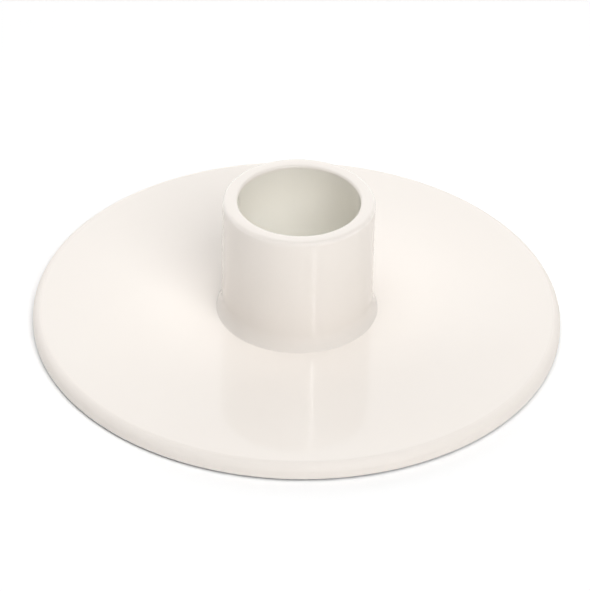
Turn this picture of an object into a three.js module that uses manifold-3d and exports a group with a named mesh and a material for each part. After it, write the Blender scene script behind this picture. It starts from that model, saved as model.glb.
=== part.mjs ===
// A low candlestick for one taper candle: a round steel plate with a turned cup standing in its middle.
// One countersunk screw holds the cup from below, and thin felt feet keep the plate off the table.
// Millimetres, +Z up. The origin is on the table, under the centre of the plate.
import * as THREE from "three";
import { mergeVertices } from "three/addons/utils/BufferGeometryUtils.js";
import Module from "manifold-3d";

// Driving dimensions: the plate
const PLATE_DIAMETER = 100;
const PLATE_THICKNESS = 3.1;
const PLATE_TOP_ROUND = 1.6;
const PLATE_BOTTOM_ROUND = 0.4;

// Driving dimensions: the cup, bored for a standard taper candle
const CANDLE_DIAMETER = 22;
const CANDLE_CLEARANCE = 0.5;
const CUP_WALL = 2.8;
const CUP_HEIGHT = 24.2;
const CUP_FLOOR = 5;
const CUP_FLOOR_ROUND = 1;
const RIM_OUTER_ROUND = 0.8;
const RIM_INNER_ROUND = 0.5;
const FOOT_FLARE = 1;
const FOOT_FLARE_HEIGHT = 3.4;

// Driving dimensions: the countersunk screw and its thread
const SCREW_DIAMETER = 4;
const SCREW_PITCH = 0.7;
const SCREW_THREAD_DEPTH = 0.4;
const SCREW_HEAD_DIAMETER = 8;
const SCREW_HEAD_LAND = 0.2;
const SCREW_TIP_CHAMFER = 0.5;
const SCREW_TIP_SETBACK = 0.6;
const SOCKET_WIDTH = 2.5;
const SOCKET_DEPTH = 1.4;
const SCREW_CLEARANCE = 0.15;

// Driving dimensions: the felt feet
const FELT_COUNT = 4;
const FELT_DIAMETER = 10;
const FELT_THICKNESS = 0.4;
const FELT_INSET = 8;

// How finely round shapes are faceted, and how close two corners are when they count as one
const PLATE_SIDES = 72;
const CUP_SIDES = 48;
const SCREW_SIDES = 24;
const FELT_SIDES = 24;
const ARC_STEPS = 3;
const THREAD_ROWS = 6;
const MERGE_DISTANCE = 1e-4;

// The largest share of a wall that the round on each of its two edges may take
const WIDE_ROUND_SHARE = 0.6;
const NARROW_ROUND_SHARE = 0.3;

// Sizes that follow from the driving dimensions
const plateRadius = PLATE_DIAMETER / 2;
const plateTopRound = Math.min(PLATE_TOP_ROUND, PLATE_THICKNESS * WIDE_ROUND_SHARE);
const plateBottomRound = Math.min(PLATE_BOTTOM_ROUND, PLATE_THICKNESS * NARROW_ROUND_SHARE);
const boreRadius = CANDLE_DIAMETER / 2 + CANDLE_CLEARANCE;
const cupRadius = boreRadius + CUP_WALL;
const rimOuterRound = Math.min(RIM_OUTER_ROUND, CUP_WALL * WIDE_ROUND_SHARE);
const rimInnerRound = Math.min(RIM_INNER_ROUND, CUP_WALL * NARROW_ROUND_SHARE);
const screwRadius = SCREW_DIAMETER / 2;
const headRadius = SCREW_HEAD_DIAMETER / 2;
const headCone = headRadius - screwRadius;

// Heights above the table
const plateBottom = FELT_THICKNESS;
const plateTop = plateBottom + PLATE_THICKNESS;
const floorTop = plateTop + CUP_FLOOR;
const rimTop = plateTop + CUP_HEIGHT;
const coneTop = plateBottom + SCREW_HEAD_LAND + headCone;
const screwTip = floorTop - SCREW_TIP_SETBACK;

const gloss = { color: 0xf3ece0, roughness: 0.12, metalness: 0 };
const zinc = { color: 0xb9bcbe, roughness: 0.35, metalness: 1 };
const felt = { color: 0x4a4642, roughness: 1, metalness: 0 };

const wasm = await Module();
wasm.setup();

// A closed geometry as a solid that can be joined and cut.
function solidOf(geometry) {
  const bare = new THREE.BufferGeometry();
  bare.setAttribute("position", geometry.getAttribute("position"));
  bare.setIndex(geometry.index);
  const merged = mergeVertices(bare, MERGE_DISTANCE);
  return new wasm.Manifold(
    new wasm.Mesh({
      numProp: 3,
      vertProperties: merged.getAttribute("position").array,
      triVerts: new Uint32Array(merged.index.array),
    }),
  );
}

// A joined or cut solid as a geometry.
function geometryOf(solid) {
  const { vertProperties, triVerts } = solid.getMesh();
  const geometry = new THREE.BufferGeometry();
  geometry.setAttribute("position", new THREE.BufferAttribute(vertProperties, 3));
  geometry.setIndex(new THREE.BufferAttribute(triVerts, 1));
  geometry.computeVertexNormals();
  return geometry;
}

// A solid of revolution about Z, from a half-section drawn anticlockwise as (radius, height).
function turned(halfSection, sides) {
  const geometry = new THREE.LatheGeometry(halfSection.getPoints(ARC_STEPS), sides);
  return geometry.rotateX(Math.PI / 2);
}

// A rod about Z with a rounded helical thread whose crests reach crestRadius.
function threadedRod(crestRadius, bottom, top) {
  const rowHeight = SCREW_PITCH / THREAD_ROWS;
  const rows = Math.ceil((top - bottom) / rowHeight);
  const positions = [0, 0, bottom, 0, 0, top];
  const triangles = [];
  const vertex = (row, side) => 2 + row * SCREW_SIDES + (side % SCREW_SIDES);
  for (let row = 0; row <= rows; row++) {
    const height = bottom + ((top - bottom) * row) / rows;
    for (let side = 0; side < SCREW_SIDES; side++) {
      const turn = side / SCREW_SIDES;
      const wave = Math.cos(2 * Math.PI * ((height - plateTop) / SCREW_PITCH - turn));
      const radius = crestRadius - (SCREW_THREAD_DEPTH * (1 - wave)) / 2;
      positions.push(radius * Math.cos(2 * Math.PI * turn), radius * Math.sin(2 * Math.PI * turn), height);
    }
  }
  for (let side = 0; side < SCREW_SIDES; side++) {
    triangles.push(0, vertex(0, side + 1), vertex(0, side));
    triangles.push(1, vertex(rows, side), vertex(rows, side + 1));
    for (let row = 0; row < rows; row++) {
      triangles.push(vertex(row, side), vertex(row, side + 1), vertex(row + 1, side + 1));
      triangles.push(vertex(row, side), vertex(row + 1, side + 1), vertex(row + 1, side));
    }
  }
  const geometry = new THREE.BufferGeometry();
  geometry.setAttribute("position", new THREE.Float32BufferAttribute(positions, 3));
  return geometry.setIndex(triangles);
}

// The plate: a flat disc with a rounded edge and a countersunk hole for the screw.
function basePlate() {
  const holeRadius = screwRadius + SCREW_CLEARANCE;
  const sinkRadius = headRadius + SCREW_CLEARANCE;
  const sinkLand = plateBottom + SCREW_HEAD_LAND + SCREW_CLEARANCE;
  const section = new THREE.Path();
  section.moveTo(sinkRadius, plateBottom);
  section.lineTo(plateRadius - plateBottomRound, plateBottom);
  section.absarc(
    plateRadius - plateBottomRound,
    plateBottom + plateBottomRound,
    plateBottomRound,
    -Math.PI / 2,
    0,
  );
  section.absarc(plateRadius - plateTopRound, plateTop - plateTopRound, plateTopRound, 0, Math.PI / 2);
  section.lineTo(holeRadius, plateTop);
  section.lineTo(holeRadius, sinkLand + headCone);
  section.lineTo(sinkRadius, sinkLand);
  section.lineTo(sinkRadius, plateBottom);
  return turned(section, PLATE_SIDES);
}

// The cup: a flared foot, a straight wall with a rounded rim, and a thick floor tapped for the screw.
function candleCup() {
  const flareTurn = 2 * Math.atan(FOOT_FLARE / FOOT_FLARE_HEIGHT);
  const flareRadius = FOOT_FLARE_HEIGHT / Math.sin(flareTurn);
  const section = new THREE.Path();
  section.moveTo(0, plateTop);
  section.lineTo(cupRadius, plateTop);
  section.absarc(
    cupRadius + flareRadius,
    plateTop + FOOT_FLARE_HEIGHT,
    flareRadius,
    flareTurn - Math.PI,
    -Math.PI,
    true,
  );
  section.absarc(cupRadius - rimOuterRound, rimTop - rimOuterRound, rimOuterRound, 0, Math.PI / 2);
  section.absarc(boreRadius + rimInnerRound, rimTop - rimInnerRound, rimInnerRound, Math.PI / 2, Math.PI);
  section.absarc(
    boreRadius - CUP_FLOOR_ROUND,
    floorTop + CUP_FLOOR_ROUND,
    CUP_FLOOR_ROUND,
    0,
    -Math.PI / 2,
    true,
  );
  section.lineTo(0, floorTop);
  const overrun = SCREW_PITCH;
  const tap = threadedRod(screwRadius + SCREW_CLEARANCE, plateTop - overrun, floorTop + overrun);
  return geometryOf(solidOf(turned(section, CUP_SIDES)).subtract(solidOf(tap)));
}

// The screw: a flush conical head with a hexagon socket, and a threaded shank that ends in a chamfer.
function cupScrew() {
  const shank = solidOf(threadedRod(screwRadius, coneTop - headCone / 2, screwTip));
  const tipRadius = screwRadius - SCREW_TIP_CHAMFER;
  const blank = new THREE.Path();
  blank.moveTo(0, plateBottom);
  blank.lineTo(headRadius, plateBottom);
  blank.lineTo(headRadius, plateBottom + SCREW_HEAD_LAND);
  blank.lineTo(screwRadius, coneTop);
  blank.lineTo(screwRadius, screwTip - SCREW_TIP_CHAMFER);
  blank.lineTo(tipRadius, screwTip);
  blank.lineTo(0, screwTip);
  const head = new THREE.Path();
  head.moveTo(0, plateBottom);
  head.lineTo(headRadius, plateBottom);
  head.lineTo(headRadius, plateBottom + SCREW_HEAD_LAND);
  head.lineTo(screwRadius - SCREW_THREAD_DEPTH, coneTop + SCREW_THREAD_DEPTH);
  head.lineTo(0, coneTop + SCREW_THREAD_DEPTH);
  const envelope = solidOf(turned(blank, SCREW_SIDES));
  const body = shank.add(solidOf(turned(head, SCREW_SIDES))).intersect(envelope);
  return geometryOf(body.subtract(solidOf(hexSocket())));
}

// The socket's space: a hexagonal prism that reaches out below the head.
function hexSocket() {
  const corner = SOCKET_WIDTH / Math.sqrt(3);
  const hexagon = new THREE.Shape();
  for (let side = 0; side < 6; side++) {
    const angle = (side * Math.PI) / 3;
    const point = [corner * Math.cos(angle), corner * Math.sin(angle)];
    if (side === 0) hexagon.moveTo(...point);
    else hexagon.lineTo(...point);
  }
  hexagon.closePath();
  const prism = new THREE.ExtrudeGeometry(hexagon, { depth: 2 * SOCKET_DEPTH, bevelEnabled: false });
  return prism.translate(0, 0, plateBottom - SOCKET_DEPTH);
}

// A felt foot, lying on the table under its own origin.
function feltFoot() {
  const radius = FELT_DIAMETER / 2;
  const section = new THREE.Path();
  section.moveTo(0, 0);
  section.lineTo(radius, 0);
  section.lineTo(radius, FELT_THICKNESS);
  section.lineTo(0, FELT_THICKNESS);
  return turned(section, FELT_SIDES);
}

// One named piece with a material of its own.
function piece(name, geometry, look) {
  const mesh = new THREE.Mesh(geometry, new THREE.MeshStandardMaterial(look));
  mesh.name = name;
  return mesh;
}

const candlestick = new THREE.Group();
candlestick.add(piece("base_plate", basePlate(), gloss));
candlestick.add(piece("candle_cup", candleCup(), gloss));
candlestick.add(piece("cup_screw", cupScrew(), zinc));

// The feet stand evenly round the plate, between its axes.
const feltCircle = plateRadius - FELT_INSET - FELT_DIAMETER / 2;
for (let index = 0; index < FELT_COUNT; index++) {
  const foot = piece(`felt_foot_${index + 1}`, feltFoot(), felt);
  const angle = (2 * Math.PI * (index + 0.5)) / FELT_COUNT;
  foot.position.set(feltCircle * Math.cos(angle), feltCircle * Math.sin(angle), 0);
  candlestick.add(foot);
}

export default candlestick;
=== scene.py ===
"""Model and dress a low candlestick: a round plate, a turned cup, the screw that joins them and felt feet.

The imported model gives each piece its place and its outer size. The classes below model the fine surface
of every piece at that place, dress it in its finish, and set up the studio and the camera. Sizes are in
metres.
"""

import logging
import math
from collections.abc import Callable
from dataclasses import dataclass
from enum import Enum
from typing import Any

import bmesh
import bpy
from mathutils import Matrix, Vector, noise

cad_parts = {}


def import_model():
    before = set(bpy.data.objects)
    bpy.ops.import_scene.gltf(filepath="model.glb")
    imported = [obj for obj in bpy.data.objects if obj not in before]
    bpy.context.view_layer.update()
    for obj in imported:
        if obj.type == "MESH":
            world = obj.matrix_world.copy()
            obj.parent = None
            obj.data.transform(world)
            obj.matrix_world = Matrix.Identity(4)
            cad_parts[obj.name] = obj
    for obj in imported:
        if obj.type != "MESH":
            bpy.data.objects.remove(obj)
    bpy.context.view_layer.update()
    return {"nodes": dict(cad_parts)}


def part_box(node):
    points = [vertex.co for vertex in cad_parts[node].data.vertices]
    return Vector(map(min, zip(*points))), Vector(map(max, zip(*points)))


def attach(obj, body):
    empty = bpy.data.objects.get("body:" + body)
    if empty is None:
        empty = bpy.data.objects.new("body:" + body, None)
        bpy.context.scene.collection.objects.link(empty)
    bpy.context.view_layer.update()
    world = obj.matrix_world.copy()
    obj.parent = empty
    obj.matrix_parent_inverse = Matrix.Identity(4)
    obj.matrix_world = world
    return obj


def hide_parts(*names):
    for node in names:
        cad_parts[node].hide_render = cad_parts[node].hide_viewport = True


LOG = logging.getLogger("candlestick")

MM = 0.001
BODY = "root"

# How far a point may lie from the ring or the wall that it belongs to
CLOSE = 0.01 * MM

# How far a supporting ring lies from the start of a round, so that the flat beside it shades flat
GUARD = 0.3 * MM

# The bevel profile that makes a true arc
ARC_PROFILE = 0.5

# The middle of a noise that runs from 0 to 1
NOISE_MIDDLE = 0.5

Colour = tuple[float, float, float, float]
Sockets = dict[str | int, Any]


class Slot(Enum):
    """The material slots."""

    GLOSS = "gloss_coat"
    ZINC = "zinc_steel"
    FELT = "felt"


class Node(Enum):
    """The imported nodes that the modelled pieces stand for."""

    PLATE = "base_plate"
    CUP = "candle_cup"
    SCREW = "cup_screw"
    FELT_1 = "felt_foot_1"
    FELT_2 = "felt_foot_2"
    FELT_3 = "felt_foot_3"
    FELT_4 = "felt_foot_4"


FELT_NODES = (Node.FELT_1, Node.FELT_2, Node.FELT_3, Node.FELT_4)


class Signal:
    """The output of a shader node, which can stand in a sum like a number."""

    def __init__(self, graph: "Graph", socket: bpy.types.NodeSocket) -> None:
        """Keep the socket and the graph that it is in."""
        self.graph = graph
        self.socket = socket

    def combine(self, operation: str, first: "Signal | float", second: "Signal | float") -> "Signal":
        """Add a Math node.

        Args:
            operation: the Math node's operation.
            first: its first value.
            second: its second value.

        Returns:
            The node's result.
        """
        return self.graph.signal("ShaderNodeMath", {"operation": operation}, {0: first, 1: second})

    def __add__(self, other: "Signal | float") -> "Signal":
        """Add."""
        return self.combine("ADD", self, other)

    def __radd__(self, other: float) -> "Signal":
        """Add to a number."""
        return self.combine("ADD", other, self)

    def __sub__(self, other: "Signal | float") -> "Signal":
        """Subtract."""
        return self.combine("SUBTRACT", self, other)

    def __rsub__(self, other: float) -> "Signal":
        """Subtract from a number."""
        return self.combine("SUBTRACT", other, self)

    def __mul__(self, other: "Signal | float") -> "Signal":
        """Multiply."""
        return self.combine("MULTIPLY", self, other)

    def __rmul__(self, other: float) -> "Signal":
        """Multiply a number."""
        return self.combine("MULTIPLY", other, self)

    def __pow__(self, power: float) -> "Signal":
        """Raise to a power."""
        return self.combine("POWER", self, power)

    def rise(self, low: float, high: float) -> "Signal":
        """Rise smoothly from 0 at one value to 1 at another.

        Args:
            low: the value where the result is 0.
            high: the value where the result is 1.

        Returns:
            The smooth step.
        """
        settings = {"interpolation_type": "SMOOTHSTEP"}
        return self.graph.signal("ShaderNodeMapRange", settings, {0: self, 1: low, 2: high})


class Graph:
    """A node tree that is filled from Python expressions."""

    def __init__(self, tree: bpy.types.NodeTree) -> None:
        """Take over an emptied node tree."""
        self.tree = tree
        tree.nodes.clear()

    def node(self, kind: str, settings: dict[str, Any], sockets: Sockets) -> bpy.types.Node:
        """Add one node.

        Args:
            kind: the node's type.
            settings: the node's own properties, which are set first.
            sockets: a value or a signal for each input, by name or by index.

        Returns:
            The node.
        """
        made = self.tree.nodes.new(kind)
        for name, value in settings.items():
            setattr(made, name, value)
        for name, value in sockets.items():
            if isinstance(value, Signal):
                self.tree.links.new(value.socket, made.inputs[name])
            else:
                made.inputs[name].default_value = value
        return made

    def signal(
        self, kind: str, settings: dict[str, Any], sockets: Sockets, output: str | int = 0
    ) -> Signal:
        """Add one node and take one of its outputs.

        Args:
            kind: the node's type.
            settings: the node's own properties.
            sockets: a value or a signal for each input.
            output: the output's name or index.

        Returns:
            The output.
        """
        return Signal(self, self.node(kind, settings, sockets).outputs[output])

    def place(self) -> Signal:
        """Give the point's place in the object's own coordinates."""
        return self.signal("ShaderNodeTexCoord", {}, {}, "Object")

    def axes(self, vector: Signal) -> tuple[Signal, Signal, Signal]:
        """Split a vector into its three parts."""
        parts = self.node("ShaderNodeSeparateXYZ", {}, {0: vector}).outputs
        return Signal(self, parts[0]), Signal(self, parts[1]), Signal(self, parts[2])

    def grain(self, place: Signal, size: float, detail: float) -> Signal:
        """Add a noise from 0 to 1.

        Args:
            place: where it is read.
            size: the width of its largest patches.
            detail: how many finer layers it has.

        Returns:
            The noise.
        """
        sockets = {"Vector": place, "Scale": 1 / size, "Detail": detail}
        return self.signal("ShaderNodeTexNoise", {}, sockets)

    def blend(self, factor: Signal, first: "Colour | Signal", second: "Colour | Signal") -> Signal:
        """Mix two colours.

        Args:
            factor: the second colour's share.
            first: the colour at 0.
            second: the colour at 1.

        Returns:
            The mixed colour.
        """
        return self.signal("ShaderNodeMix", {"data_type": "RGBA"}, {0: factor, 6: first, 7: second}, 2)

    def relief(self, height: Signal, depth: float) -> Signal:
        """Add a Bump node.

        Args:
            height: the relief, from 0 to 1.
            depth: how deep it is.

        Returns:
            The surface's normal.
        """
        return self.signal("ShaderNodeBump", {}, {"Strength": 1.0, "Distance": depth, "Height": height})

    def surface(self, sockets: Sockets) -> None:
        """Close a material's graph with its shader."""
        shader = self.signal("ShaderNodeBsdfPrincipled", {}, sockets)
        self.node("ShaderNodeOutputMaterial", {}, {"Surface": shader})


def new_material(name: str) -> tuple[bpy.types.Material, Graph]:
    """Start a material.

    Args:
        name: the material's name.

    Returns:
        The material and its empty graph.
    """
    material = bpy.data.materials.new(name)
    material.use_nodes = True
    return material, Graph(material.node_tree)


@dataclass(frozen=True)
class GlossLacquer:
    """Glossy cream lacquer on steel.

    It is duller round the plate's edge, with painted shade deepening the edge; painted light makes the
    bore's mouth paler, with painted shade deeper in the bore; and a dark underside paints the shade below
    the plate.
    """

    base_height: float
    rim_height: float
    bore_radius: float
    plate_radius: float
    edge_round: float
    tone: Colour = (0.925, 0.868, 0.81, 1)
    thin_tone: Colour = (0.945, 0.892, 0.838, 1)
    # painted shade: a darker tone for the plate's edge band
    edge_shade_tone: Colour = (0.9, 0.842, 0.785, 1)
    # painted light in the bore: paler at its mouth, fading to painted shade deeper down
    mouth_light_tone: Colour = (0.975, 0.957, 0.868, 1)
    deep_shade_tone: Colour = (0.89, 0.887, 0.832, 1)
    # painted shade: a dark underside that makes the gap under the plate read as shadow
    underside_shade_tone: Colour = (0.06, 0.059, 0.058, 1)
    thin_underside_shade_tone: Colour = (0.085, 0.083, 0.081, 1)
    underside_shade_edge: float = 0.12 * MM
    gloss: float = 0.055
    gloss_spread: float = 0.03
    bore_dullness: float = 0.08
    edge_dullness: float = 0.5
    underside_dullness: float = 0.4
    edge_fade: float = 0.5 * MM
    refraction: float = 1.5
    cloud_size: float = 22 * MM
    peel_size: float = 1.3 * MM
    peel_depth: float = 0.0012 * MM
    mouth_depth: float = 1 * MM
    # the depth where the bore's painted shade reaches its full tone
    bore_shade_depth: float = 16 * MM

    def material(self) -> bpy.types.Material:
        """Make the lacquer's material.

        Returns:
            The material.
        """
        material, graph = new_material("gloss_lacquer")
        place = graph.place()
        x, y, z = graph.axes(place)
        radius = (x * x + y * y) ** 0.5
        clouds = graph.grain(place, self.cloud_size, detail=3)
        peel = graph.grain(place, self.peel_size, detail=1)
        drop = self.rim_height - z
        inside = radius.rise(self.bore_radius + CLOSE, self.bore_radius - CLOSE)
        bored = inside * drop.rise(0, self.mouth_depth)
        underside_shaded = (z - self.base_height).rise(self.underside_shade_edge, self.underside_shade_edge / 2)
        edge_start = self.plate_radius - self.edge_round
        dulled = radius.rise(edge_start, edge_start + self.edge_fade)
        # painted shade: the edge's tone darkens towards the plate's rim
        edge_shade = radius.rise(edge_start + self.edge_fade, self.plate_radius)
        outer_coat = graph.blend(clouds, self.tone, self.thin_tone)
        outer_coat = graph.blend(edge_shade, outer_coat, self.edge_shade_tone)
        # painted light and shade in the bore: pale at the mouth, darker deeper down
        bore_shade = drop.rise(self.mouth_depth, self.bore_shade_depth)
        bore_light_and_shade = graph.blend(bore_shade, self.mouth_light_tone, self.deep_shade_tone)
        coat = graph.blend(bored, outer_coat, bore_light_and_shade)
        # painted shade: the plate's underside is dark, standing in for the shade of the gap below it
        underside_shade = graph.blend(clouds, self.underside_shade_tone, self.thin_underside_shade_tone)
        dullness = self.bore_dullness * bored + self.edge_dullness * dulled + self.underside_dullness * underside_shaded
        graph.surface(
            {
                "Base Color": graph.blend(underside_shaded, coat, underside_shade),
                "Roughness": self.gloss + self.gloss_spread * (clouds - NOISE_MIDDLE) + dullness,
                "IOR": self.refraction,
                "Normal": graph.relief(peel, self.peel_depth),
            }
        )
        return material


@dataclass(frozen=True)
class ZincPlating:
    """Bright zinc on a turned screw: grey metal with turning marks and a faint cloudy tarnish."""

    tone: Colour = (0.56, 0.57, 0.59, 1)
    tarnish_tone: Colour = (0.42, 0.41, 0.38, 1)
    gloss: float = 0.26
    gloss_spread: float = 0.22
    cloud_size: float = 1.8 * MM
    tarnish_start: float = 0.45
    tarnish_full: float = 0.75
    mark_pitch: float = 0.11 * MM
    mark_depth: float = 0.004 * MM

    def material(self) -> bpy.types.Material:
        """Make the plating's material.

        Returns:
            The material.
        """
        material, graph = new_material("zinc_plating")
        place = graph.place()
        x, y, z = graph.axes(place)
        radius = (x * x + y * y) ** 0.5
        clouds = graph.grain(place, self.cloud_size, detail=4)
        across = graph.signal("ShaderNodeCombineXYZ", {}, {0: radius, 1: z})
        marks = graph.grain(across, self.mark_pitch, detail=2)
        tarnish = clouds.rise(self.tarnish_start, self.tarnish_full)
        graph.surface(
            {
                "Base Color": graph.blend(tarnish, self.tone, self.tarnish_tone),
                "Metallic": 1.0,
                "Roughness": self.gloss + self.gloss_spread * clouds,
                "Normal": graph.relief(marks, self.mark_depth),
            }
        )
        return material


@dataclass(frozen=True)
class PressedFelt:
    """Thin dark felt: short matted fibres, lighter where they stand up."""

    tone: Colour = (0.045, 0.042, 0.04, 1)
    fibre_tone: Colour = (0.13, 0.122, 0.115, 1)
    fibre_size: float = 0.22 * MM
    mat_size: float = 1.6 * MM
    mat_share: float = 0.35
    lift_start: float = 0.38
    lift_full: float = 0.66
    fibre_depth: float = 0.08 * MM
    roughness: float = 0.95
    mat_polish: float = 0.08
    sheen: float = 0.3

    def material(self) -> bpy.types.Material:
        """Make the felt's material.

        Returns:
            The material.
        """
        material, graph = new_material("pressed_felt")
        place = graph.place()
        fibres = graph.grain(place, self.fibre_size, detail=4)
        mats = graph.grain(place, self.mat_size, detail=3)
        pile = (1 - self.mat_share) * fibres + self.mat_share * mats
        lift = pile.rise(self.lift_start, self.lift_full)
        graph.surface(
            {
                "Base Color": graph.blend(lift, self.tone, self.fibre_tone),
                "Roughness": self.roughness - self.mat_polish * mats,
                "Sheen Weight": self.sheen,
                "Normal": graph.relief(fibres, self.fibre_depth),
            }
        )
        return material


class Workpiece:
    """A piece on the bench: a disc about the Z axis that is shaped in edit mode until it is finished."""

    def __init__(self, name: str, sides: int, radius: float, bottom: float, top: float) -> None:
        """Lay a closed disc on the bench and open it for editing.

        Args:
            name: the piece's name.
            sides: how many sides stand for its round outline.
            radius: the disc's radius.
            bottom: the height of its underside.
            top: the height of its upper side.
        """
        bpy.ops.object.select_all(action="DESELECT")
        bpy.ops.mesh.primitive_cylinder_add(
            vertices=sides, radius=radius, depth=top - bottom, location=(0, 0, (bottom + top) / 2)
        )
        bpy.ops.object.transform_apply()
        self.sides = sides
        self.object = bpy.context.object
        self.object.name = name
        self.object.data.name = name
        bpy.ops.object.mode_set(mode="EDIT")

    def _choose(self, kind: str, test: Callable[[Any], bool]) -> list[Any]:
        """Select the faces or edges that pass a test, and nothing else.

        Args:
            kind: FACE or EDGE.
            test: says whether an element is chosen.

        Returns:
            The chosen elements.
        """
        bpy.ops.mesh.select_mode(type=kind)
        bpy.ops.mesh.select_all(action="DESELECT")
        mesh = bmesh.from_edit_mesh(self.object.data)
        chosen = [part for part in (mesh.faces if kind == "FACE" else mesh.edges) if test(part)]
        for part in chosen:
            part.select_set(True)
        bmesh.update_edit_mesh(self.object.data)
        if not chosen:
            raise ValueError(f"{self.object.name}: nothing there to shape")
        return chosen

    def _cap_radius(self) -> float:
        """Give the radius of the selected cap."""
        mesh = bmesh.from_edit_mesh(self.object.data)
        return max(corner.co.xy.length for corner in mesh.verts if corner.select)

    def _cap_height(self) -> float:
        """Give the height of the selected cap."""
        mesh = bmesh.from_edit_mesh(self.object.data)
        return max(corner.co.z for corner in mesh.verts if corner.select)

    def take_cap(self, *heights: float) -> None:
        """Select the round faces that close the piece on its axis.

        Args:
            heights: the heights of the faces.
        """

        def closes(face: bmesh.types.BMFace) -> bool:
            """Say whether a face lies across the axis at one of the heights."""
            middle = face.calc_center_median()
            return middle.xy.length < CLOSE and any(abs(middle.z - height) < CLOSE for height in heights)

        self._choose("FACE", closes)

    def step_in(self, radius: float) -> None:
        """Inset the selected cap to a smaller radius."""
        width = (self._cap_radius() - radius) * math.cos(math.pi / self.sides)
        bpy.ops.mesh.inset(thickness=width, depth=0)

    def draw(self, *heights: float) -> None:
        """Extrude the selected cap straight along the axis.

        Args:
            heights: where it stops, one after the other.
        """
        for height in heights:
            travel = (0, 0, height - self._cap_height())
            bpy.ops.mesh.extrude_region_move(TRANSFORM_OT_translate={"value": travel})

    def taper(self, radius: float) -> None:
        """Scale the selected cap.

        Args:
            radius: the cap's new radius.
        """
        share = radius / self._cap_radius()
        middle = (0, 0, self._cap_height())
        bpy.ops.transform.resize(value=(share, share, 1), center_override=middle)

    def round_ring(self, radius: float, height: float, size: float, steps: int) -> None:
        """Round the ring of edges at a radius and a height.

        Args:
            radius: the ring's radius.
            height: the ring's height.
            size: the radius of the round.
            steps: how many faces make the round.
        """

        def on_ring(edge: bmesh.types.BMEdge) -> bool:
            """Say whether both ends of an edge lie on the ring."""
            return all(
                abs(corner.co.xy.length - radius) < CLOSE and abs(corner.co.z - height) < CLOSE
                for corner in edge.verts
            )

        self._choose("EDGE", on_ring)
        bpy.ops.mesh.bevel(offset=size, segments=steps, profile=ARC_PROFILE, affect="EDGES")

    def join_caps(self, lower: float, upper: float) -> None:
        """Open two caps and bridge them, so that a hole goes through.

        Args:
            lower: the height of the lower cap.
            upper: the height of the upper cap.
        """
        self.take_cap(lower, upper)
        bpy.ops.mesh.delete(type="ONLY_FACE")
        self._choose("EDGE", lambda edge: edge.is_boundary)
        bpy.ops.mesh.bridge_edge_loops()

    def move_corners(self, move: Callable[[Vector], Vector]) -> None:
        """Move every corner of the piece.

        Args:
            move: gives a corner's new place from its old one.
        """
        mesh = bmesh.from_edit_mesh(self.object.data)
        for corner in mesh.verts:
            corner.co = move(corner.co.copy())
        bmesh.update_edit_mesh(self.object.data)

    def finish(self, crease: float) -> bpy.types.Object:
        """Take the piece off the bench.

        Args:
            crease: the least angle between two faces that shows as an edge.

        Returns:
            The finished object.
        """
        bpy.ops.mesh.select_all(action="SELECT")
        bpy.ops.mesh.normals_make_consistent(inside=False)
        bpy.ops.object.mode_set(mode="OBJECT")
        bpy.ops.object.shade_smooth_by_angle(angle=crease)
        return self.object


def place_piece(piece: bpy.types.Object, node: Node, slot: Slot, material: bpy.types.Material) -> None:
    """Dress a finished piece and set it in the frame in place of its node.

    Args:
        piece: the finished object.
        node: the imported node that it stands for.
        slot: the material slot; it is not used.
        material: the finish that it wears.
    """
    piece.data.materials.clear()
    piece.data.materials.append(material)
    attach(piece, BODY)
    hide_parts(node.value)
    LOG.info("%s stands for %s, with %d faces", piece.name, node.value, len(piece.data.polygons))


@dataclass(frozen=True)
class Thread:
    """A rounded helical thread about the Z axis."""

    pitch: float = 0.7 * MM
    depth: float = 0.4 * MM
    rows: int = 8

    def heights(self, start: float, end: float) -> list[float]:
        """Give the heights of the rings that carry the thread.

        Args:
            start: the height of the ring before the first.
            end: the height of the last ring.

        Returns:
            The heights, in order from start to end.
        """
        count = math.ceil(abs(end - start) / self.pitch * self.rows)
        return [start + (end - start) * step / count for step in range(1, count + 1)]

    def cut(self, crest: float, low: float, high: float) -> Callable[[Vector], Vector]:
        """Make the move that cuts the thread into a straight wall.

        Args:
            crest: the radius of the wall, and of the thread's crests.
            low: the height where the thread starts.
            high: the height where it ends.

        Returns:
            The move of one corner.
        """

        def move(corner: Vector) -> Vector:
            """Draw a corner of the wall in by the thread's depth there.

            Args:
                corner: the corner's place.

            Returns:
                Its new place.
            """
            if abs(corner.xy.length - crest) > CLOSE or not low < corner.z < high:
                return corner
            turn = math.atan2(corner.y, corner.x) - math.tau * corner.z / self.pitch
            share = 1 - self.depth * (1 - math.cos(turn)) / 2 / crest
            return Vector((corner.x * share, corner.y * share, corner.z))

        return move


THREAD = Thread()


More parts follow.
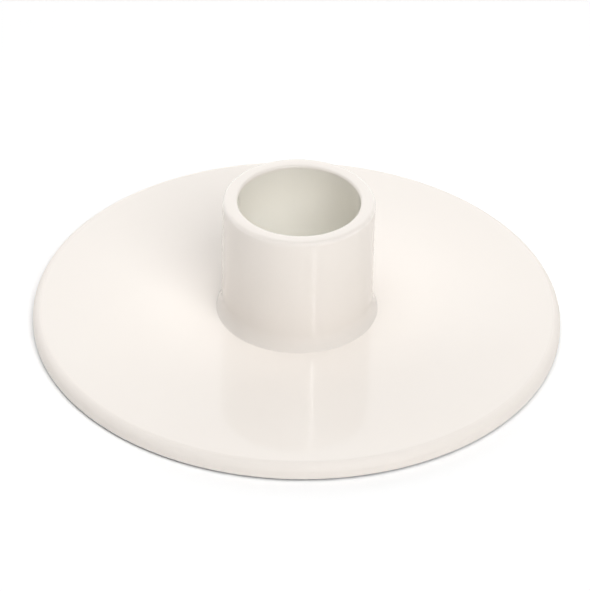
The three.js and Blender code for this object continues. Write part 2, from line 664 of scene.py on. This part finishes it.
@dataclass
class Plate:
    """The base plate: a flat disc with a rounded edge and a countersunk hole in its middle."""

    material: bpy.types.Material
    top_round: float = 1.6 * MM
    bottom_round: float = 0.4 * MM
    sink_radius: float = 4.15 * MM
    sink_land: float = 0.35 * MM
    hole_radius: float = 2.15 * MM
    sides: int = 224
    top_steps: int = 14
    bottom_steps: int = 6
    crease: float = math.radians(30)

    def build(self) -> bpy.types.Object:
        """Model the plate.

        Returns:
            The finished piece.
        """
        low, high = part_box(Node.PLATE.value)
        radius, bottom, top = high.x, low.z, high.z
        cone_top = bottom + self.sink_land + self.sink_radius - self.hole_radius
        piece = Workpiece("lacquered_plate", self.sides, radius, bottom, top)
        piece.round_ring(radius, top, self.top_round, self.top_steps)
        piece.round_ring(radius, bottom, self.bottom_round, self.bottom_steps)
        piece.take_cap(bottom)
        piece.step_in(radius - self.bottom_round - GUARD)
        piece.step_in(self.sink_radius)
        piece.draw(bottom + self.sink_land)
        piece.draw(cone_top)
        piece.taper(self.hole_radius)
        piece.take_cap(top)
        piece.step_in(radius - self.top_round - GUARD)
        piece.step_in(self.hole_radius)
        piece.join_caps(cone_top, top)
        return piece.finish(self.crease)

    def dress(self, plate: bpy.types.Object) -> None:
        """Lacquer the plate and set it in the frame."""
        place_piece(plate, Node.PLATE, Slot.GLOSS, self.material)


@dataclass
class Cup:
    """The candle cup: a flared foot, a straight wall, a rounded rim and a floor tapped for the screw."""

    material: bpy.types.Material
    wall_radius: float = 14.3 * MM
    bore_radius: float = 11.5 * MM
    floor_thickness: float = 5 * MM
    flare_height: float = 3.4 * MM
    rim_outer_round: float = 0.8 * MM
    rim_inner_round: float = 0.5 * MM
    floor_round: float = 1 * MM
    tap_radius: float = 2.15 * MM
    tap_chamfer: float = 0.3 * MM
    sides: int = 160
    round_steps: int = 12
    flare_steps: int = 12
    crease: float = math.radians(40)

    def _flare(self, foot_radius: float, bottom: float) -> list[tuple[float, float]]:
        """Lay out the arc that leads from the edge of the foot up into the wall.

        Args:
            foot_radius: the radius of the foot's edge.
            bottom: the height of that edge.

        Returns:
            The height and radius of each ring above the edge.
        """
        turn = 2 * math.atan((foot_radius - self.wall_radius) / self.flare_height)
        arc = self.flare_height / math.sin(turn)
        angles = [turn * step / self.flare_steps for step in range(self.flare_steps - 1, -1, -1)]
        wall_start = bottom + self.flare_height
        return [
            (wall_start - arc * math.sin(angle), self.wall_radius + arc * (1 - math.cos(angle)))
            for angle in angles
        ]

    def build(self) -> bpy.types.Object:
        """Model the cup.

        Returns:
            The finished piece.
        """
        low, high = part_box(Node.CUP.value)
        foot_radius, bottom, rim = high.x, low.z, high.z
        floor = bottom + self.floor_thickness
        first, *others = self._flare(foot_radius, bottom)
        piece = Workpiece("lacquered_cup", self.sides, foot_radius, bottom, first[0])
        piece.take_cap(first[0])
        piece.taper(first[1])
        for height, radius in others:
            piece.draw(height)
            piece.taper(radius)
        piece.draw(bottom + self.flare_height + GUARD, rim - self.rim_outer_round - GUARD, rim)
        piece.step_in(self.bore_radius)
        piece.draw(rim - self.rim_inner_round - GUARD, floor + self.floor_round + GUARD, floor)
        piece.step_in(self.bore_radius - self.floor_round - GUARD)
        piece.step_in(self.tap_radius + self.tap_chamfer)
        piece.draw(floor - self.tap_chamfer)
        piece.taper(self.tap_radius)
        tapped = THREAD.heights(floor - self.tap_chamfer, bottom)
        piece.draw(*tapped[:-1])
        piece.take_cap(bottom)
        piece.step_in(self.tap_radius)
        piece.join_caps(bottom, tapped[-2])
        piece.round_ring(self.wall_radius, rim, self.rim_outer_round, self.round_steps)
        piece.round_ring(self.bore_radius, rim, self.rim_inner_round, self.round_steps)
        piece.round_ring(self.bore_radius, floor, self.floor_round, self.round_steps)
        piece.move_corners(THREAD.cut(self.tap_radius, bottom, floor - self.tap_chamfer))
        return piece.finish(self.crease)

    def dress(self, cup: bpy.types.Object) -> None:
        """Lacquer the cup and set it in the frame."""
        place_piece(cup, Node.CUP, Slot.GLOSS, self.material)


@dataclass
class Screw:
    """The screw that holds the cup: a flush conical head with a hexagon socket, and a threaded shank."""

    material: bpy.types.Material
    shank_radius: float = 2 * MM
    head_land: float = 0.2 * MM
    tip_chamfer: float = 0.5 * MM
    socket_width: float = 2.5 * MM
    socket_depth: float = 1.4 * MM
    socket_chamfer: float = 0.12 * MM
    drill_radius: float = 0.625 * MM
    drill_depth: float = 0.3 * MM
    drill_tip: float = 0.06 * MM
    edge_round: float = 0.06 * MM
    sides: int = 96
    edge_steps: int = 3
    crease: float = math.radians(35)

    def _hexagon(self, height: float) -> Callable[[Vector], Vector]:
        """Make the move that turns the ring at the socket's mouth into a hexagon.

        Args:
            height: the height of the ring.

        Returns:
            The move of one corner.
        """
        mouth = self.socket_width / 2
        sixth = math.tau / 6

        def move(corner: Vector) -> Vector:
            """Push a corner of the ring out to the hexagon's side.

            Args:
                corner: the corner's place.

            Returns:
                Its new place.
            """
            if abs(corner.xy.length - mouth) > CLOSE or abs(corner.z - height) > CLOSE:
                return corner
            off_side = math.atan2(corner.y, corner.x) % sixth - sixth / 2
            share = 1 / math.cos(off_side)
            return Vector((corner.x * share, corner.y * share, corner.z))

        return move

    def build(self) -> bpy.types.Object:
        """Model the screw.

        Returns:
            The finished piece.
        """
        low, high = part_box(Node.SCREW.value)
        head_radius, bottom, tip = high.x, low.z, high.z
        land = bottom + self.head_land
        cone_top = land + head_radius - self.shank_radius
        piece = Workpiece("zinc_screw", self.sides, head_radius, bottom, land)
        piece.take_cap(land)
        piece.draw(cone_top)
        piece.taper(self.shank_radius)
        piece.draw(*THREAD.heights(cone_top, tip - self.tip_chamfer))
        piece.draw(tip)
        piece.taper(self.shank_radius - self.tip_chamfer)
        piece.take_cap(bottom)
        piece.step_in(self.socket_width / math.sqrt(3) + self.socket_chamfer)
        piece.step_in(self.socket_width / 2)
        piece.move_corners(self._hexagon(bottom))
        piece.draw(bottom + self.socket_depth)
        piece.step_in(self.drill_radius)
        piece.draw(bottom + self.socket_depth + self.drill_depth)
        piece.taper(self.drill_tip)
        piece.round_ring(head_radius, bottom, self.edge_round, self.edge_steps)
        piece.move_corners(THREAD.cut(self.shank_radius, cone_top, tip - self.tip_chamfer))
        return piece.finish(self.crease)

    def dress(self, screw: bpy.types.Object) -> None:
        """Plate the screw with zinc and set it in the frame."""
        place_piece(screw, Node.SCREW, Slot.ZINC, self.material)


@dataclass
class FeltFeet:
    """The felt feet: thin cut discs with soft edges and a slightly uneven face."""

    material: bpy.types.Material
    edge_round: float = 0.16 * MM
    fuzz: float = 0.03 * MM
    fuzz_size: float = 0.6 * MM
    sides: int = 96
    edge_steps: int = 4
    rings: int = 18
    crease: float = math.radians(60)

    def _face(self, piece: Workpiece, height: float, radius: float) -> None:
        """Cover one face of the disc with rings, so that it can be uneven.

        Args:
            piece: the disc on the bench.
            height: the height of the face.
            radius: the disc's radius.
        """
        piece.take_cap(height)
        for ring in range(self.rings, 0, -1):
            piece.step_in((radius - self.edge_round) * ring / (self.rings + 1))

    def _uneven(self, middle: Vector, top: float) -> Callable[[Vector], Vector]:
        """Make the move that dents the felt's face and sides.

        Args:
            middle: the foot's place on the table.
            top: the felt's thickness.

        Returns:
            The move of one corner, from the bench to its place on the plate.
        """

        def move(corner: Vector) -> Vector:
            """Draw a corner in by a noise.

            Args:
                corner: the corner's place on the bench.

            Returns:
                Its place on the plate.
            """
            dent = self.fuzz * (0.5 + 0.5 * noise.noise(corner / self.fuzz_size))
            inward = dent if corner.z < top / 2 else -dent
            share = 1 - dent / max(corner.xy.length, self.fuzz_size)
            return middle + Vector((corner.x * share, corner.y * share, corner.z + inward))

        return move

    def build(self) -> list[bpy.types.Object]:
        """Model one foot and copy it to the others' places.

        Returns:
            The finished pieces.
        """
        low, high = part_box(FELT_NODES[0].value)
        radius, thickness = (high.x - low.x) / 2, high.z - low.z
        first_place = (low + high) / 2
        on_table = Vector((first_place.x, first_place.y, low.z))
        piece = Workpiece("felt_pad_1", self.sides, radius, 0, thickness)
        for height in (0, thickness):
            piece.round_ring(radius, height, self.edge_round, self.edge_steps)
            self._face(piece, height, radius)
        piece.move_corners(self._uneven(on_table, thickness))
        first = piece.finish(self.crease)
        made = [first]
        for index, node in enumerate(FELT_NODES[1:], start=2):
            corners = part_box(node.value)
            copy = first.copy()
            copy.data = first.data.copy()
            copy.name = f"felt_pad_{index}"
            copy.data.name = copy.name
            copy.data.transform(Matrix.Translation((corners[0] + corners[1]) / 2 - first_place))
            bpy.context.collection.objects.link(copy)
            made.append(copy)
        return made

    def dress(self, feet: list[bpy.types.Object]) -> None:
        """Cover the feet in felt and set them in the frame."""
        for foot, node in zip(feet, FELT_NODES):
            place_piece(foot, node, Slot.FELT, self.material)


def direction(azimuth: float, elevation: float) -> Vector:
    """Give the direction towards a light or a viewer.

    Args:
        azimuth: degrees from the front of the object towards its right.
        elevation: degrees above the table.

    Returns:
        The unit vector.
    """
    turn, climb = math.radians(azimuth), math.radians(elevation)
    flat = math.cos(climb)
    return Vector((math.sin(turn) * flat, -math.cos(turn) * flat, math.sin(climb)))


class Effect(Enum):
    """What a panel does to a surface: lights its colour, or shows in its gloss."""

    SHADING = "shading"
    GLOSS = "gloss"


@dataclass(frozen=True)
class Panel:
    """A flat panel of even light that faces the object."""

    name: str
    effect: Effect
    azimuth: float
    elevation: float
    width: float
    height: float
    radiance: float
    distance: float = 3.0

    def build(self) -> None:
        """Hang the panel and aim it at the object."""
        lamp = bpy.data.lights.new(self.name, "AREA")
        lamp.shape = "RECTANGLE"
        lamp.size = self.width
        lamp.size_y = self.height
        lamp.energy = self.radiance * math.pi * self.width * self.height
        holder = bpy.data.objects.new(self.name, lamp)
        towards = direction(self.azimuth, self.elevation)
        holder.location = towards * self.distance
        holder.rotation_euler = towards.to_track_quat("Z", "Y").to_euler()
        holder.visible_camera = False
        holder.visible_diffuse = self.effect is Effect.SHADING
        holder.visible_glossy = self.effect is Effect.GLOSS
        bpy.context.collection.objects.link(holder)
        LOG.info("%s hangs at %.0f degrees, %.0f up", self.name, self.azimuth, self.elevation)


@dataclass(frozen=True)
class Studio:
    """A white floor under soft panels, with a wide pale backdrop behind."""

    floor_size: float = 8.0
    floor_tone: Colour = (0.95, 0.95, 0.95, 1)
    floor_roughness: float = 0.9
    floor_glow: float = 0.125
    backdrop_azimuth: float = 196
    backdrop_inner: float = 31
    backdrop_outer: float = 92
    backdrop_low: float = 30
    backdrop_high: float = 64
    backdrop_glow: float = 2.04
    panels: tuple[Panel, ...] = (
        Panel("key_panel", Effect.SHADING, azimuth=25, elevation=44, width=2.0, height=2.0, radiance=4.3),
        Panel("top_panel", Effect.SHADING, azimuth=0, elevation=78, width=2.4, height=2.4, radiance=1.97),
        Panel("key_shine", Effect.GLOSS, azimuth=20, elevation=46, width=2.0, height=1.0, radiance=1.2),
        Panel("small_lamp", Effect.GLOSS, azimuth=25, elevation=35.7, width=0.3, height=0.22, radiance=70),
    )

    def floor(self) -> None:
        """Lay the floor."""
        bpy.ops.object.select_all(action="DESELECT")
        bpy.ops.mesh.primitive_plane_add(size=self.floor_size)
        sheet = bpy.context.object
        sheet.name = "studio_floor"
        material, graph = new_material("studio_floor")
        graph.surface(
            {
                "Base Color": self.floor_tone,
                "Roughness": self.floor_roughness,
                "Specular IOR Level": 0.0,
                "Emission Color": (1, 1, 1, 1),
                "Emission Strength": self.floor_glow,
            }
        )
        sheet.data.materials.append(material)

    def surroundings(self) -> None:
        """Light the backdrop, which fades to its sides and upwards."""
        world = bpy.data.worlds.new("studio_light")
        world.use_nodes = True
        bpy.context.scene.world = world
        graph = Graph(world.node_tree)
        right, behind, above = graph.axes(graph.signal("ShaderNodeTexCoord", {}, {}, "Generated"))
        middle = direction(self.backdrop_azimuth, 0)
        edge, full = math.radians(self.backdrop_outer), math.radians(self.backdrop_inner)
        across = (right * middle.x + behind * middle.y).rise(math.cos(edge), math.cos(full))
        low, high = math.radians(self.backdrop_low), math.radians(self.backdrop_high)
        upwards = above.rise(math.sin(high), math.sin(low))
        glow = self.backdrop_glow * across * upwards
        shader = graph.signal("ShaderNodeBackground", {}, {"Strength": glow})
        graph.node("ShaderNodeOutputWorld", {}, {"Surface": shader})

    def build(self) -> None:
        """Set up the floor and the lights."""
        self.floor()
        self.surroundings()
        for panel in self.panels:
            panel.build()
        bpy.context.scene.view_settings.view_transform = "Standard"


@dataclass(frozen=True)
class PhotoCamera:
    """The camera at the photograph's place."""

    elevation: float = 35.42
    roll: float = math.radians(1.22)
    distance: float = 868 * MM
    slide: float = -0.31 * MM
    lift: float = 4.78 * MM
    focal_pixels: float = 4566
    image_side: float = 591
    sensor: float = 36
    nearest: float = 10 * MM

    def build(self) -> None:
        """Set up the camera and make it the scene's own."""
        back = direction(0, self.elevation)
        level = Vector((1, 0, 0))
        upright = back.cross(level)
        across = math.cos(self.roll) * level + math.sin(self.roll) * upright
        up = math.cos(self.roll) * upright - math.sin(self.roll) * level
        lens = bpy.data.cameras.new("photo_camera")
        lens.sensor_width = self.sensor
        lens.lens = self.focal_pixels * self.sensor / self.image_side
        lens.clip_start = self.nearest
        holder = bpy.data.objects.new("photo_camera", lens)
        turn = Matrix((across, up, back)).transposed()
        spot = self.distance * back + self.slide * across + self.lift * up
        holder.matrix_world = Matrix.Translation(spot) @ turn.to_4x4()
        bpy.context.collection.objects.link(holder)
        bpy.context.scene.camera = holder


def main() -> None:
    """Build the candlestick in its studio."""
    logging.basicConfig(level=logging.INFO, format="%(name)s: %(message)s")
    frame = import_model()
    LOG.info("the frame holds %d nodes", len(frame["nodes"]))
    PhotoCamera().build()
    plate_low, plate_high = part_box(Node.PLATE.value)
    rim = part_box(Node.CUP.value)[1].z
    finish = GlossLacquer(
        base_height=plate_low.z,
        rim_height=rim,
        bore_radius=Cup.bore_radius,
        plate_radius=plate_high.x,
        edge_round=Plate.top_round,
    )
    lacquer = finish.material()
    plate = Plate(lacquer)
    plate.dress(plate.build())
    cup = Cup(lacquer)
    cup.dress(cup.build())
    screw = Screw(ZincPlating().material())
    screw.dress(screw.build())
    feet = FeltFeet(PressedFelt().material())
    feet.dress(feet.build())
    Studio().build()


if __name__ == "__main__":
    main()
